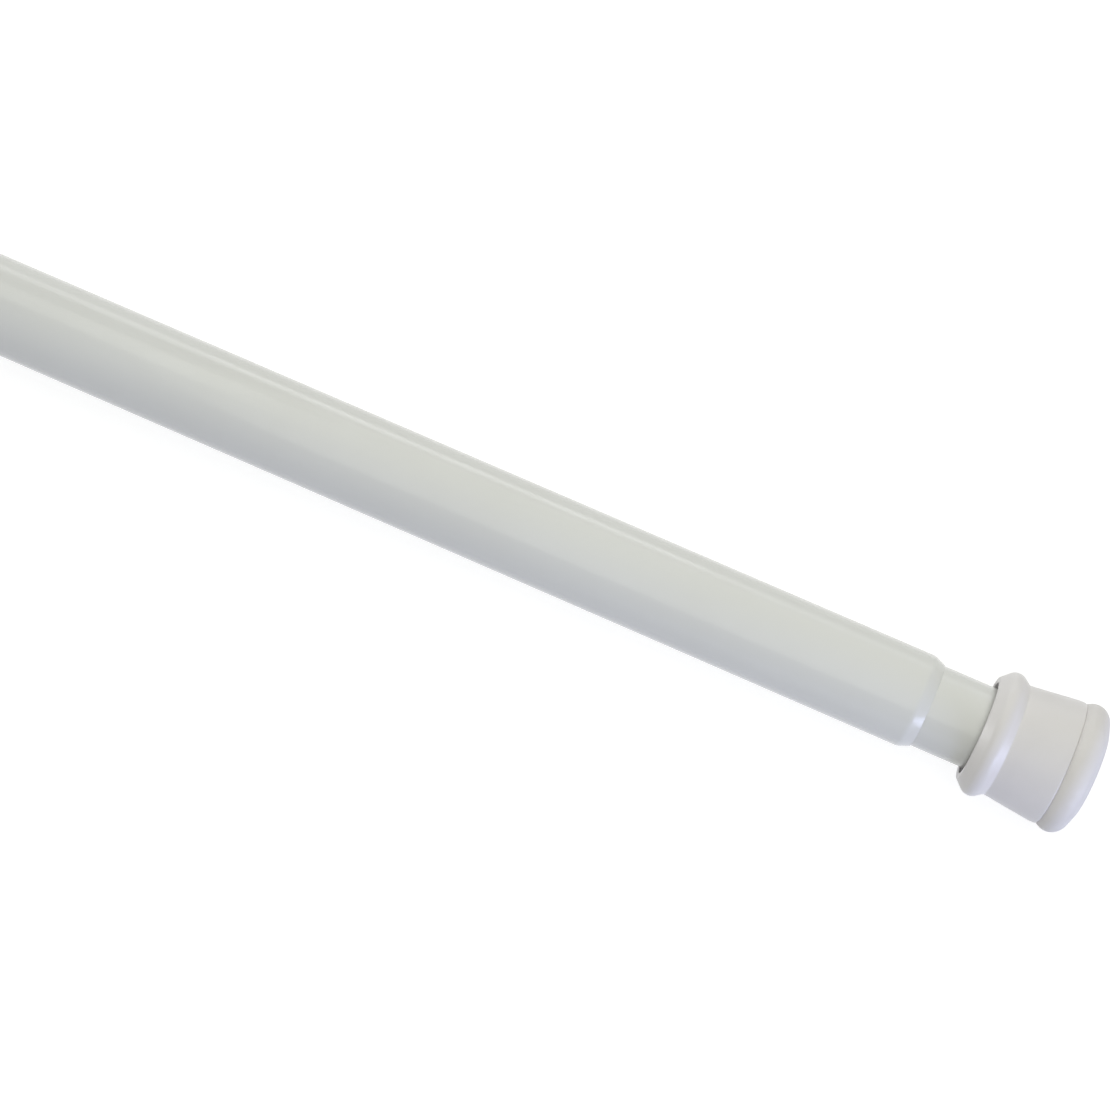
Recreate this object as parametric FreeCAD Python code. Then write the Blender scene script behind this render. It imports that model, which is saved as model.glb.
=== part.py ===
"""Spring tension rod: an inner tube telescopes in an outer tube, with a twist lock and a spring between them.

Millimetres. X is the rod's axis and Z is up. The origin is the middle of the fixed foot's wall face. The rod
is drawn closed to its shortest length and unlocked, with its spring as long as the rod ever lets it be.
"""

import FreeCAD
import Part
import math
import os

# Tubes
CLOSED_LENGTH = 700.0
OUTER_DIAMETER = 25.0
OUTER_WALL = 0.5
TUBE_GAP = 1.0
INNER_WALL = 0.5

# Necked-in end of the outer tube
LIP_LENGTH = 3.0
LIP_CLEARANCE = 0.08
LIP_EDGE = 0.15
LIP_CREASE_ROUND = 0.7
LIP_EDGE_ROUND = 0.08

# Cap shell, with walls, flare and rise taken outwards from the tube that it holds
CAP_LENGTH = 30.25
CAP_FLOOR = 2.5
CAP_WALL = 2.5
CAP_FLARE = 1.53
CAP_RIM_LENGTH = 2.0
CAP_EDGE_ROUND = 0.5
BEAD_LENGTH = 7.65
BEAD_CREST = 3.85
BEAD_RISE = 2.77
BEAD_ROUND = 3.08
BEAD_FILLET = 0.7
MOUTH_WALL = 1.54
MOUTH_ROUND = 0.25
REDUCER_LENGTH = 14.0
REDUCER_CHAMFER = 0.4

# Rubber foot, whose rim's corner is given before its rounding
FOOT_THICKNESS = 7.8
FOOT_SEAT_DROP = 0.3
FOOT_RIM_DEPTH = 2.8
FOOT_RIM_RISE = 2.7
FOOT_RIM_ROUND = 4.0
FOOT_FACE_DIAMETER = 23.6
FOOT_FACE_ROUND = 1.75
GRIP_GROOVES = 3
GRIP_PITCH = 3.2
GRIP_WIDTH = 0.8
GRIP_DEPTH = 0.5
STEM_DIAMETER = 6.0
BARB_RISE = 1.4
BARB_LENGTH = 3.0
BARB_TAPER = 1.9

# Fits, each between two facing surfaces
PRESS_CLEARANCE = 0.02
TURN_CLEARANCE = 0.1
SLIDE_CLEARANCE = 0.2
SPRING_CLEARANCE = 1.0
END_PLAY = 0.1

# Twist lock
PARKED_GAP = 25.0
THREAD_DIAMETER = 8.0
THREAD_PITCH = 3.0
LOCK_TURNS = 1.5
COLLET_LENGTH = 28.0
COLLET_WEB = 5.0
FINGER_WALL = 2.4
TAPER_DEG = 9.0
TAPER_LENGTH = 15.0
SLOT_COUNT = 4
SLOT_WIDTH = 2.6
SLOT_LENGTH = 20.0
SLOT_END_DIAMETER = 3.6
RIDGE_GROOVES = 4
RIDGE_PITCH = 3.5
RIDGE_WIDTH = 1.4
RIDGE_DEPTH = 0.5
RING_SECTION = 1.8
CONE_LENGTH = 12.0
CONE_RIM = 3.0
CONE_RIM_RISE = 1.2
FIN_CLEARANCE = 0.3

# Spindle and its clips
TIP_LENGTH = 1.5
TIP_CHAMFER = 0.6
CLIP_THICKNESS = 1.0
CLIP_WIDTH = 2.0
CLIP_BITE = 0.6
CLIP_MOUTH = 0.8
COLLAR_RISE = 4.0
COLLAR_LENGTH = 2.0
WASHER_THICKNESS = 1.0
SHANK_WIDTH = 7.0
SHANK_CORNER_CUT = 0.5
TAIL_STEP = 0.5

# Spring, its follower, its stop and the guide bush
SPRING_TRAVEL = 12.0
LIP_TO_CAP = 2.0
WIRE_DIAMETER = 2.0
SPRING_LENGTH = 72.0
ACTIVE_TURNS = 5
ARCS_PER_TURN = 8
CLOSED_PITCH = 1.05
GROUND_SHARE = 0.3
FOLLOWER_THICKNESS = 3.0
SPIGOT_LENGTH = 6.0
SPIGOT_CHAMFER = 0.8
BUSH_FLANGE = 3.0
BUSH_LENGTH = 18.0
BUSH_ROUND = 0.6
STOP_LENGTH = 12.0
STOP_FLOOR = 3.0
STOP_WALL = 2.5

# Stakes punched through the inner tube's wall into the bush and the stop
STAKE_COUNT = 3
STAKE_DEPTH = 0.8
PUNCH_RADIUS = 2.0

# Radii
outer_radius = OUTER_DIAMETER / 2
outer_bore = outer_radius - OUTER_WALL
inner_radius = outer_bore - TUBE_GAP
inner_bore = inner_radius - INNER_WALL
cap_bore = outer_radius + PRESS_CLEARANCE
cap_waist = cap_bore + CAP_WALL
cap_end_radius = cap_waist + CAP_FLARE
bead_radius = cap_waist + BEAD_RISE
mouth_radius = cap_bore + MOUTH_WALL
foot_radius = cap_end_radius + FOOT_RIM_RISE
face_radius = FOOT_FACE_DIAMETER / 2
stem_radius = STEM_DIAMETER / 2
stem_hole = stem_radius + PRESS_CLEARANCE
plug_radius = inner_bore - PRESS_CLEARANCE
thread_radius = THREAD_DIAMETER / 2
thread_bore = thread_radius + TURN_CLEARANCE
collet_radius = outer_bore - SLIDE_CLEARANCE
collet_mouth = collet_radius - FINGER_WALL
ring_radius = outer_bore - TURN_CLEARANCE - RING_SECTION / 2
taper_slope = math.tan(math.radians(TAPER_DEG))
collar_radius = thread_radius + COLLAR_RISE
tail_radius = SHANK_WIDTH / 2 - TAIL_STEP
follower_radius = inner_bore - SLIDE_CLEARANCE
spring_mean_radius = inner_bore - SPRING_CLEARANCE - WIRE_DIAMETER / 2
spigot_radius = spring_mean_radius - WIRE_DIAMETER / 2 - SLIDE_CLEARANCE

# Places along the rod, from the fixed foot
cap_floor_x = FOOT_THICKNESS + CAP_FLOOR
spindle_x = cap_floor_x + PARKED_GAP
tip_clip_x = spindle_x + TIP_LENGTH
cone_x = tip_clip_x + CLIP_THICKNESS + END_PLAY
cone_travel = LOCK_TURNS * THREAD_PITCH
collet_x = cone_x + CONE_RIM + cone_travel + END_PLAY
ring_x = collet_x + COLLET_LENGTH - COLLET_WEB / 2
washer_x = collet_x + COLLET_LENGTH + END_PLAY
collar_x = washer_x + WASHER_THICKNESS
shank_x = collar_x + COLLAR_LENGTH
bush_x = shank_x + SPRING_TRAVEL + END_PLAY
inner_tube_x = bush_x + BUSH_FLANGE
follower_x = inner_tube_x + BUSH_LENGTH + END_PLAY
spring_x = follower_x + FOLLOWER_THICKNESS
stop_x = spring_x + SPRING_LENGTH
outer_tube_end = CLOSED_LENGTH - CAP_LENGTH - SPRING_TRAVEL - LIP_TO_CAP
inner_tube_end = CLOSED_LENGTH - cap_floor_x
bush_stake_x = inner_tube_x + BUSH_LENGTH / 2
stop_stake_x = stop_x + STOP_LENGTH / 2

ORIGIN = FreeCAD.Vector(0, 0, 0)
ROD_AXIS = FreeCAD.Vector(1, 0, 0)
UP = FreeCAD.Vector(0, 0, 1)
SHORTEST_EDGE = 1e-6


def rounded_outline(corners):
    """Closed wire in the XZ plane through (x, radius) corners, where a third value rounds its corner."""
    points = [FreeCAD.Vector(corner[0], 0, corner[1]) for corner in corners]
    rounds = [corner[2] if len(corner) > 2 else 0.0 for corner in corners]
    bends = []
    for index, point in enumerate(points):
        back = (points[index - 1] - point).normalize()
        ahead = (points[(index + 1) % len(points)] - point).normalize()
        half_angle = back.getAngle(ahead) / 2
        reach = rounds[index] / math.tan(half_angle)
        rise = rounds[index] / math.sin(half_angle) - rounds[index]
        bends.append((point + back * reach, point + (back + ahead).normalize() * rise, point + ahead * reach))
    edges = []
    for index, (enter, middle, leave) in enumerate(bends):
        if rounds[index] > 0:
            edges.append(Part.Arc(enter, middle, leave).toShape())
        following = bends[(index + 1) % len(bends)][0]
        if (following - leave).Length > SHORTEST_EDGE:
            edges.append(Part.makeLine(leave, following))
    return Part.Wire(edges)


def turned(corners):
    """Solid made by turning a rounded outline about the rod's axis."""
    return Part.Face(rounded_outline(corners)).revolve(ORIGIN, ROD_AXIS, 360)


def bar(x, length, width, height, centre_z=0.0):
    """Box along the rod, centred across it, whose middle height is at centre_z."""
    return Part.makeBox(length, width, height, FreeCAD.Vector(x, -width / 2, centre_z - height / 2))


def around(shape, count):
    """Copies of a shape, evenly spaced about the rod's axis."""
    copies = []
    for index in range(count):
        copy = shape.copy()
        copy.rotate(ORIGIN, ROD_AXIS, 360.0 * index / count)
        copies.append(copy)
    return copies


def far_end(shape):
    """The same piece at the sliding end, turned to face the other wall."""
    copy = shape.copy()
    copy.rotate(ORIGIN, UP, 180)
    copy.translate(FreeCAD.Vector(CLOSED_LENGTH, 0, 0))
    return copy


def stake_balls(x, radius):
    """Balls about the centres of the punched stakes at one place along the inner tube."""
    centre_radius = inner_radius + PUNCH_RADIUS - STAKE_DEPTH
    return around(Part.makeSphere(radius, FreeCAD.Vector(x, 0, centre_radius)), STAKE_COUNT)


def one_solid(shape):
    """The single solid of a finished piece, without seams left by fusing."""
    return shape.removeSplitter().Solids[0]


def outer_tube():
    """Thin steel tube whose open end is necked in round the inner tube."""
    crease_x = outer_tube_end - LIP_LENGTH
    lip_bore = inner_radius + LIP_CLEARANCE
    return turned([
        (cap_floor_x, outer_bore),
        (cap_floor_x, outer_radius),
        (crease_x, outer_radius, LIP_CREASE_ROUND),
        (outer_tube_end, lip_bore + LIP_EDGE, LIP_EDGE_ROUND),
        (outer_tube_end, lip_bore),
        (crease_x, outer_bore, LIP_CREASE_ROUND),
    ])


def inner_tube():
    """Thin steel tube, staked inwards to hold the guide bush and the spring stop."""
    tube = turned([
        (inner_tube_x, inner_bore),
        (inner_tube_x, inner_radius),
        (inner_tube_end, inner_radius),
        (inner_tube_end, inner_bore),
    ])
    filling = Part.makeCylinder(inner_radius, inner_tube_end, ORIGIN, ROD_AXIS)
    for x in (bush_stake_x, stop_stake_x):
        dents = [ball.common(filling) for ball in stake_balls(x, PUNCH_RADIUS + INNER_WALL)]
        tube = tube.fuse(dents).cut(stake_balls(x, PUNCH_RADIUS))
    return one_solid(tube)


def cap_shell():
    """Moulded cap: a flaring body with a round bead at its mouth and a floor that the tube stands on."""
    return turned([
        (FOOT_THICKNESS, stem_hole),
        (FOOT_THICKNESS, cap_end_radius, CAP_EDGE_ROUND),
        (FOOT_THICKNESS + CAP_RIM_LENGTH, cap_end_radius),
        (CAP_LENGTH - BEAD_LENGTH, cap_waist, BEAD_FILLET),
        (CAP_LENGTH - BEAD_CREST, bead_radius, BEAD_ROUND),
        (CAP_LENGTH, mouth_radius, MOUTH_ROUND),
        (CAP_LENGTH, cap_bore, MOUTH_ROUND),
        (cap_floor_x, cap_bore),
        (cap_floor_x, stem_hole),
    ])


def rubber_foot():
    """Soft foot with a round rim and grip grooves, held in the cap's floor by a barbed stem."""
    barb_radius = stem_radius + BARB_RISE
    barb_x = cap_floor_x + PRESS_CLEARANCE
    face = [(0.0, 0.0)]
    for index in range(GRIP_GROOVES):
        near = GRIP_PITCH * (index + 1) - GRIP_WIDTH / 2
        far = near + GRIP_WIDTH
        face += [(0.0, near), (GRIP_DEPTH, near), (GRIP_DEPTH, far), (0.0, far)]
    return turned(face + [
        (0.0, face_radius, FOOT_FACE_ROUND),
        (FOOT_RIM_DEPTH, foot_radius, FOOT_RIM_ROUND),
        (FOOT_THICKNESS, cap_end_radius - FOOT_SEAT_DROP),
        (FOOT_THICKNESS, stem_radius),
        (barb_x, stem_radius),
        (barb_x, barb_radius),
        (barb_x + BARB_LENGTH, barb_radius - BARB_TAPER),
        (barb_x + BARB_LENGTH, 0.0),
    ])


def reducer_sleeve():
    """Sleeve that fills the cap's bore round the thinner tube, short of the mouth."""
    bore = inner_radius + PRESS_CLEARANCE
    end = cap_floor_x + REDUCER_LENGTH
    return turned([
        (cap_floor_x, bore),
        (cap_floor_x, outer_radius),
        (end - REDUCER_CHAMFER, outer_radius),
        (end, outer_radius - REDUCER_CHAMFER),
        (end, bore + REDUCER_CHAMFER),
        (end - REDUCER_CHAMFER, bore),
    ])


def expander_collet():
    """Slotted collet with ridged fingers that the cone spreads against the outer tube's bore."""
    throat = collet_mouth - TAPER_LENGTH * taper_slope
    end = collet_x + COLLET_LENGTH
    ring_room = RING_SECTION / 2 + PRESS_CLEARANCE
    outside = [(collet_x, collet_mouth), (collet_x, collet_radius)]
    for index in range(RIDGE_GROOVES):
        near = collet_x + RIDGE_PITCH * (index + 1) - RIDGE_WIDTH / 2
        far = near + RIDGE_WIDTH
        floor = collet_radius - RIDGE_DEPTH
        outside += [(near, collet_radius), (near, floor), (far, collet_radius)]
    body = turned(outside + [
        (ring_x - ring_room, collet_radius),
        (ring_x - ring_room, ring_radius - ring_room),
        (ring_x + ring_room, ring_radius - ring_room),
        (ring_x + ring_room, collet_radius),
        (end, collet_radius),
        (end, thread_bore),
        (end - COLLET_WEB, thread_bore),
        (end - COLLET_WEB, throat),
        (collet_x + TAPER_LENGTH, throat),
    ])
    slot = bar(collet_x, SLOT_LENGTH, SLOT_WIDTH, collet_radius + SLIDE_CLEARANCE, collet_radius / 2)
    slot_end = Part.makeCylinder(
        SLOT_END_DIAMETER / 2, outer_bore, FreeCAD.Vector(collet_x + SLOT_LENGTH, 0, 0), UP)
    slots = around(slot.fuse(slot_end), SLOT_COUNT)
    return one_solid(body.cut(slots))


def drag_ring():
    """Rubber ring in the collet's groove, whose drag on the bore keeps the collet from turning."""
    return Part.makeTorus(ring_radius, RING_SECTION / 2, FreeCAD.Vector(ring_x, 0, 0), ROD_AXIS)


def cone_nut():
    """Threaded cone whose fins run in the collet's slots, drawn back by the lock's travel."""
    shoulder = cone_x + CONE_RIM
    large_end = collet_mouth - END_PLAY
    small_end = large_end - CONE_LENGTH * taper_slope
    cone = turned([
        (cone_x, thread_bore),
        (cone_x, large_end + CONE_RIM_RISE),
        (shoulder, large_end + CONE_RIM_RISE),
        (shoulder, large_end),
        (shoulder + CONE_LENGTH, small_end),
        (shoulder + CONE_LENGTH, thread_bore),
    ])
    fin_width = SLOT_WIDTH - 2 * FIN_CLEARANCE
    fin_base = (thread_bore + small_end) / 2
    fin_height = large_end + CONE_RIM_RISE - fin_base
    fin = bar(shoulder, CONE_LENGTH, fin_width, fin_height, fin_base + fin_height / 2)
    return one_solid(cone.fuse(around(fin, SLOT_COUNT)))


def spindle():
    """Steel spindle: threaded nose, thrust collar, square shank and a short tail for the follower."""
    groove = thread_radius - CLIP_BITE
    tail_groove = tail_radius - CLIP_BITE
    tail_end = spring_x + CLIP_THICKNESS + TIP_LENGTH
    round_part = turned([
        (spindle_x, 0.0),
        (spindle_x, thread_radius - TIP_CHAMFER),
        (spindle_x + TIP_CHAMFER, thread_radius),
        (tip_clip_x, thread_radius),
        (tip_clip_x, groove),
        (tip_clip_x + CLIP_THICKNESS, groove),
        (tip_clip_x + CLIP_THICKNESS, thread_radius),
        (collar_x, thread_radius),
        (collar_x, collar_radius),
        (shank_x, collar_radius),
        (shank_x, tail_radius),
        (spring_x, tail_radius),
        (spring_x, tail_groove),
        (spring_x + CLIP_THICKNESS, tail_groove),
        (spring_x + CLIP_THICKNESS, tail_radius),
        (tail_end, tail_radius),
        (tail_end, 0.0),
    ])
    shank_length = follower_x - shank_x
    corner_radius = SHANK_WIDTH / math.sqrt(2) - SHANK_CORNER_CUT
    corners = Part.makeCylinder(corner_radius, shank_length, FreeCAD.Vector(shank_x, 0, 0), ROD_AXIS)
    shank = bar(shank_x, shank_length, SHANK_WIDTH, SHANK_WIDTH).common(corners)
    return one_solid(round_part.fuse(shank))


def snap_clip(x, shaft_radius):
    """Spring clip in the groove of a shaft, open on one side so that it snaps on."""
    bore = shaft_radius - CLIP_BITE
    outside = shaft_radius + CLIP_WIDTH
    ring = turned([
        (x, bore),
        (x, outside),
        (x + CLIP_THICKNESS, outside),
        (x + CLIP_THICKNESS, bore),
    ])
    mouth = bar(x, CLIP_THICKNESS, 2 * bore * CLIP_MOUTH, outside, outside / 2)
    return one_solid(ring.cut(mouth))


def thrust_washer():
    """Plain washer that the collet turns against."""
    return turned([
        (washer_x, thread_bore),
        (washer_x, collar_radius),
        (collar_x, collar_radius),
        (collar_x, thread_bore),
    ])


def guide_bush():
    """Flanged bush staked in the end of the inner tube: it runs in the outer tube and on the square shank."""
    end = inner_tube_x + BUSH_LENGTH
    flange_radius = outer_bore - SLIDE_CLEARANCE
    hole_width = SHANK_WIDTH + 2 * SLIDE_CLEARANCE
    blank = turned([
        (bush_x, 0.0),
        (bush_x, flange_radius, BUSH_ROUND),
        (inner_tube_x, flange_radius),
        (inner_tube_x, plug_radius),
        (end, plug_radius, BUSH_ROUND),
        (end, 0.0),
    ])
    hole = bar(bush_x, BUSH_FLANGE + BUSH_LENGTH, hole_width, hole_width)
    pockets = stake_balls(bush_stake_x, PUNCH_RADIUS + INNER_WALL + PRESS_CLEARANCE)
    return one_solid(blank.cut([hole] + pockets))


def spring_follower():
    """Cup clipped on the spindle's tail, whose spigot centres the spring."""
    spigot_end = spring_x + SPIGOT_LENGTH
    clip_room = tail_radius + CLIP_WIDTH + SLIDE_CLEARANCE
    return turned([
        (follower_x, tail_radius + PRESS_CLEARANCE),
        (follower_x, follower_radius),
        (spring_x, follower_radius),
        (spring_x, spigot_radius),
        (spigot_end - SPIGOT_CHAMFER, spigot_radius),
        (spigot_end, spigot_radius - SPIGOT_CHAMFER),
        (spigot_end, clip_room),
        (spring_x, clip_room),
        (spring_x, tail_radius + PRESS_CLEARANCE),
    ])


def spring_stop():
    """Moulded plug staked in the inner tube, with a spigot for the spring and a hollow back."""
    end = stop_x + STOP_LENGTH
    spigot_end = stop_x - SPIGOT_LENGTH
    blank = turned([
        (spigot_end, 0.0),
        (spigot_end, spigot_radius - SPIGOT_CHAMFER),
        (spigot_end + SPIGOT_CHAMFER, spigot_radius),
        (stop_x, spigot_radius),
        (stop_x, plug_radius),
        (end, plug_radius),
        (end, plug_radius - STOP_WALL),
        (stop_x + STOP_FLOOR, plug_radius - STOP_WALL),
        (stop_x + STOP_FLOOR, 0.0),
    ])
    pockets = stake_balls(stop_stake_x, PUNCH_RADIUS + INNER_WALL + PRESS_CLEARANCE)
    return one_solid(blank.cut(pockets))


def spring_height(turn):
    """Distance along the spring of its wire's centre, with one closed turn at each end."""
    closed = CLOSED_PITCH * WIRE_DIAMETER
    lead = GROUND_SHARE * WIRE_DIAMETER
    open_pitch = (SPRING_LENGTH - 2 * lead - 2 * closed) / ACTIVE_TURNS
    if turn < 1:
        return lead + closed * turn
    if turn > ACTIVE_TURNS + 1:
        return SPRING_LENGTH - lead - closed * (ACTIVE_TURNS + 2 - turn)
    return lead + closed + open_pitch * (turn - 1)


def compression_spring():
    """Round wire swept along tangent arcs of a helix, with its closed end turns ground flat."""
    corner_radius = spring_mean_radius / math.cos(math.pi / ARCS_PER_TURN)
    corners = []
    for index in range((ACTIVE_TURNS + 2) * ARCS_PER_TURN + 1):
        angle = 2 * math.pi * index / ARCS_PER_TURN
        x = spring_x + spring_height(index / ARCS_PER_TURN)
        corners.append(FreeCAD.Vector(x, corner_radius * math.sin(angle), corner_radius * math.cos(angle)))
    edges = []
    here = (corners[0] + corners[1]) / 2
    for before, corner, after in zip(corners, corners[1:], corners[2:]):
        reach = min((before - corner).Length, (after - corner).Length) / 2
        back = (before - corner).normalize()
        ahead = (after - corner).normalize()
        half_angle = back.getAngle(ahead) / 2
        rise = reach / math.cos(half_angle) - reach * math.tan(half_angle)
        enter = corner + back * reach
        leave = corner + ahead * reach
        if (enter - here).Length > SHORTEST_EDGE:
            edges.append(Part.makeLine(here, enter))
        edges.append(Part.Arc(enter, corner + (back + ahead).normalize() * rise, leave).toShape())
        here = leave
    path = Part.Wire(edges)
    start = path.Edges[0]
    section = Part.makeCircle(
        WIRE_DIAMETER / 2,
        start.valueAt(start.FirstParameter),
        start.tangentAt(start.FirstParameter),
    )
    wire = path.makePipe(Part.Face(Part.Wire([section])))
    ground = Part.makeCylinder(inner_bore, SPRING_LENGTH, FreeCAD.Vector(spring_x, 0, 0), ROD_AXIS)
    return one_solid(wire.common(ground))


def pieces():
    """Every piece of the rod under its own name."""
    shell = cap_shell()
    foot = rubber_foot()
    return {
        "outer_tube": outer_tube(),
        "inner_tube": inner_tube(),
        "fixed_cap_shell": shell,
        "fixed_rubber_foot": foot,
        "sliding_cap_shell": far_end(shell),
        "sliding_rubber_foot": far_end(foot),
        "reducer_sleeve": far_end(reducer_sleeve()),
        "expander_collet": expander_collet(),
        "drag_ring": drag_ring(),
        "cone_nut": cone_nut(),
        "spindle": spindle(),
        "cone_clip": snap_clip(tip_clip_x, thread_radius),
        "thrust_washer": thrust_washer(),
        "guide_bush": guide_bush(),
        "spring_follower": spring_follower(),
        "follower_clip": snap_clip(spring_x, tail_radius),
        "compression_spring": compression_spring(),
        "spring_stop": spring_stop(),
    }


os.makedirs("parts", exist_ok=True)
for name, piece in pieces().items():
    piece.exportStep(f"parts/{name}.step")
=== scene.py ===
"""Dresses the spring tension rod: enamelled tubes, moulded caps, soft feet, and the lock and spring inside.

Metres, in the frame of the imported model: X runs along the rod from the fixed foot's wall face, Z is up.
"""

from __future__ import annotations

import logging
import math
from dataclasses import dataclass, field
from enum import Enum

import bpy
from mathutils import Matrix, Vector

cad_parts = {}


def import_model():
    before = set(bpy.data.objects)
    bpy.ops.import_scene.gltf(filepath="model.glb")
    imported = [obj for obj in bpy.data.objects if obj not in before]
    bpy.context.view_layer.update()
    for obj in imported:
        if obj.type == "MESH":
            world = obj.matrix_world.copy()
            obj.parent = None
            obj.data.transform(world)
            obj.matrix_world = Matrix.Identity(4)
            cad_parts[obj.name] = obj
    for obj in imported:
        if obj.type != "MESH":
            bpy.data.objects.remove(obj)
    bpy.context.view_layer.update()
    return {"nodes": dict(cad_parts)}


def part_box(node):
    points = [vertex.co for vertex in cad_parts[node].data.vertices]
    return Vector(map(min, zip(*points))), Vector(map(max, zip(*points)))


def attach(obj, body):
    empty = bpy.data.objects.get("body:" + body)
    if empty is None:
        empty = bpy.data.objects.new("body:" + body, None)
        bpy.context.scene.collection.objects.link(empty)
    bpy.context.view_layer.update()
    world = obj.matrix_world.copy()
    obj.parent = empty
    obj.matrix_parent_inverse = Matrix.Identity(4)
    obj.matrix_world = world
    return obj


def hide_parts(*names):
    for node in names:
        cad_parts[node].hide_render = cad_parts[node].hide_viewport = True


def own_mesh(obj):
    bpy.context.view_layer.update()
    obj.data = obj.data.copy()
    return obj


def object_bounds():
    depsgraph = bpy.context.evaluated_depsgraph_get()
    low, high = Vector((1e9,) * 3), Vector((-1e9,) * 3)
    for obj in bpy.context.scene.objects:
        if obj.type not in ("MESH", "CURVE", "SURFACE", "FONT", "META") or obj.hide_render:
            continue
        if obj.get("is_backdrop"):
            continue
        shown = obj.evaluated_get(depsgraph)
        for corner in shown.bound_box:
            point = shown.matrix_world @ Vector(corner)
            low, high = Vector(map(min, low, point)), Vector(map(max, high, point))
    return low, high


LOG = logging.getLogger("tension_rod")
MM = 0.001
ROD_AXIS = Vector((1.0, 0.0, 0.0))
ARC_STEP = math.radians(6.0)
FEWEST_ARC_STEPS = 2
SMOOTH_ANGLE = math.radians(32.0)
MERGE_DISTANCE = 1e-7
SQUARE_SIDES = 4
BLOTCH_DETAIL = 4.0
BLOTCH_ROUGHNESS = 0.55
BLOTCH_RANGE = (0.3, 0.7)
DIMPLE_DETAIL = 1.0
LINE_DETAIL = 2.0
SHEEN_TO_BLOTCH = 4.0
GRAIN_TO_DIMPLE = 6.0

Colour = tuple[float, float, float, float]


class End(Enum):
    """The rod's two ends, by the word that starts the names of their pieces."""

    FIXED = "fixed"
    SLIDING = "sliding"


def grey(level: float, warm: float = 0.0) -> Colour:
    """Opaque near-neutral colour.

    Args:
        level: Linear brightness of the green channel.
        warm: Share that moves from blue to red.

    Returns:
        The colour with an alpha of one.
    """
    return (level * (1.0 + warm), level, level * (1.0 - warm), 1.0)


@dataclass(frozen=True)
class Corner:
    """One corner of a turned outline.

    Args:
        x: Place along the rod.
        radius: Distance from the rod's axis.
        rounding: Radius of the arc that rounds the corner.
    """

    x: float
    radius: float
    rounding: float = 0.0

    def place(self) -> Vector:
        """The corner in the plane that the outline is drawn in."""
        return Vector((self.x, 0.0, self.radius))


@dataclass
class Outline:
    """Rounded outline of a turned piece.

    Args:
        corners: The outline's corners in order.
        closed: Whether the last corner joins the first.
    """

    corners: list[Corner]
    closed: bool = True

    def points(self) -> list[Vector]:
        """Points along the outline, with each rounded corner drawn as a short-stepped arc.

        Returns:
            The points in order, without the closing one.
        """
        drawn: list[Vector] = []
        count = len(self.corners)
        for index, corner in enumerate(self.corners):
            here = corner.place()
            if corner.rounding <= 0.0:
                drawn.append(here)
                continue
            back = (self.corners[index - 1].place() - here).normalized()
            ahead = (self.corners[(index + 1) % count].place() - here).normalized()
            half = back.angle(ahead) / 2.0
            reach = corner.rounding / math.tan(half)
            centre = here + (back + ahead).normalized() * (corner.rounding / math.sin(half))
            enter = here + back * reach - centre
            leave = here + ahead * reach - centre
            sweep = enter.angle(leave)
            steps = max(FEWEST_ARC_STEPS, math.ceil(sweep / ARC_STEP))
            for step in range(steps + 1):
                share = step / steps
                arm = enter * math.sin((1.0 - share) * sweep) + leave * math.sin(share * sweep)
                drawn.append(centre + arm / math.sin(sweep))
        return [point for k, point in enumerate(drawn) if (point - drawn[k - 1]).length > MERGE_DISTANCE]


def draw_outline(name: str, points: list[Vector], closed: bool) -> bpy.types.Object:
    """Draws an outline by extruding one vertex along it, and stays in Edit Mode with all of it selected.

    Args:
        name: Name of the new piece.
        points: The outline's points in order.
        closed: Whether the last point joins the first.

    Returns:
        The new piece at the origin.
    """
    bpy.ops.object.select_all(action="DESELECT")
    bpy.ops.mesh.primitive_plane_add(size=MM)
    piece = bpy.context.object
    piece.name = name
    piece.data.name = name
    bpy.ops.object.mode_set(mode="EDIT")
    bpy.ops.mesh.select_all(action="SELECT")
    bpy.ops.mesh.merge(type="CENTER")
    bpy.ops.transform.translate(value=points[0])
    route = points + points[:1] if closed else points
    for before, after in zip(route, route[1:]):
        bpy.ops.mesh.extrude_vertices_move(TRANSFORM_OT_translate={"value": after - before})
    bpy.ops.mesh.select_all(action="SELECT")
    bpy.ops.mesh.remove_doubles(threshold=MERGE_DISTANCE)
    return piece


def close_up(piece: bpy.types.Object) -> bpy.types.Object:
    """Merges what meets, turns the faces outwards and leaves Edit Mode with smooth shading.

    Args:
        piece: The piece in Edit Mode.

    Returns:
        The same piece.
    """
    bpy.ops.mesh.select_all(action="SELECT")
    bpy.ops.mesh.remove_doubles(threshold=MERGE_DISTANCE)
    bpy.ops.mesh.normals_make_consistent(inside=False)
    bpy.ops.object.mode_set(mode="OBJECT")
    bpy.ops.object.shade_smooth_by_angle(angle=SMOOTH_ANGLE)
    return piece


def turn_on_lathe(name: str, outline: Outline, steps: int) -> bpy.types.Object:
    """Spins a drawn outline about the rod's axis.

    Args:
        name: Name of the new piece.
        outline: The outline to spin.
        steps: Number of faces round the axis.

    Returns:
        The closed, smooth-shaded piece at the origin.
    """
    piece = draw_outline(name, outline.points(), outline.closed)
    bpy.ops.mesh.spin(
        steps=steps, angle=math.tau, center=(0.0, 0.0, 0.0), axis=ROD_AXIS, use_auto_merge=True)
    return close_up(piece)


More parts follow.
